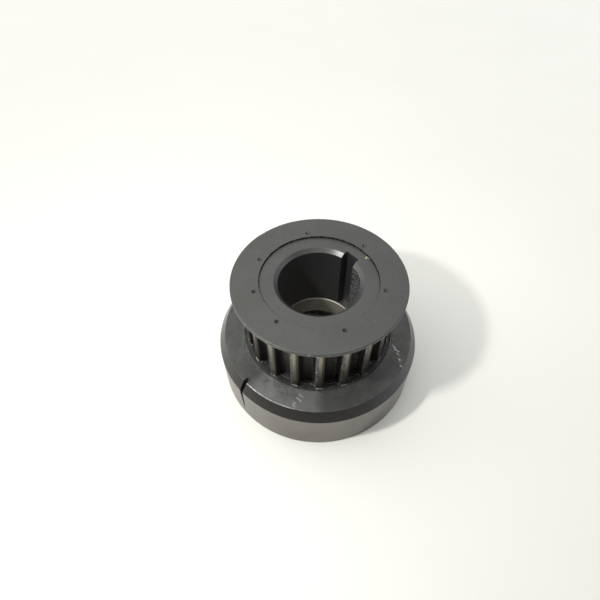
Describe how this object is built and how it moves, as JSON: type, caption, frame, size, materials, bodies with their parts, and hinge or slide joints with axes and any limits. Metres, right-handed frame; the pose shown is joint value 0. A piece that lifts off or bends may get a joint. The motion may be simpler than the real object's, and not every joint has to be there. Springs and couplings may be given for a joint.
{
  "type": "timing belt pulley",
  "caption": "Toothed belt pulley for a keyed shaft: sleeve on a bevelled base disc with a timing notch, thin guide ring on the toothed end.",
  "frame": {"origin": "on the axis of rotation, at the underside of the base disc", "axes": "+Z along the axis of rotation towards the guide ring, +X towards the keyway"},
  "size_m": [0.08, 0.08, 0.0518],
  "materials": {
    "disc_steel": "blackened top and bevel, bare turned rim",
    "blackened_steel": "black oxide, satin",
    "ring_steel": "black oxide, satin",
    "pin_steel": "hardened, darkened",
    "screw_steel": "black oxide",
    "spring_steel": "plain spring steel"
  },
  "bodies": {
    "root": {"base_disc": "disc_steel", "toothed_sleeve": "blackened_steel", "flange_ring": "ring_steel", "flange_pin_1": "pin_steel", "flange_pin_2": "pin_steel", "flange_pin_3": "pin_steel", "flange_pin_4": "pin_steel", "flange_pin_5": "pin_steel", "flange_pin_6": "pin_steel", "flange_pin_7": "pin_steel", "dowel_pin_1": "pin_steel", "dowel_pin_2": "pin_steel", "clamp_screw_1": "screw_steel", "clamp_screw_2": "screw_steel", "clamp_screw_3": "screw_steel", "clamp_screw_4": "screw_steel", "clamp_screw_5": "screw_steel", "clamp_screw_6": "screw_steel", "lock_washer_1": "spring_steel", "lock_washer_2": "spring_steel", "lock_washer_3": "spring_steel", "lock_washer_4": "spring_steel", "lock_washer_5": "spring_steel", "lock_washer_6": "spring_steel"}
  },
  "joints": []
}
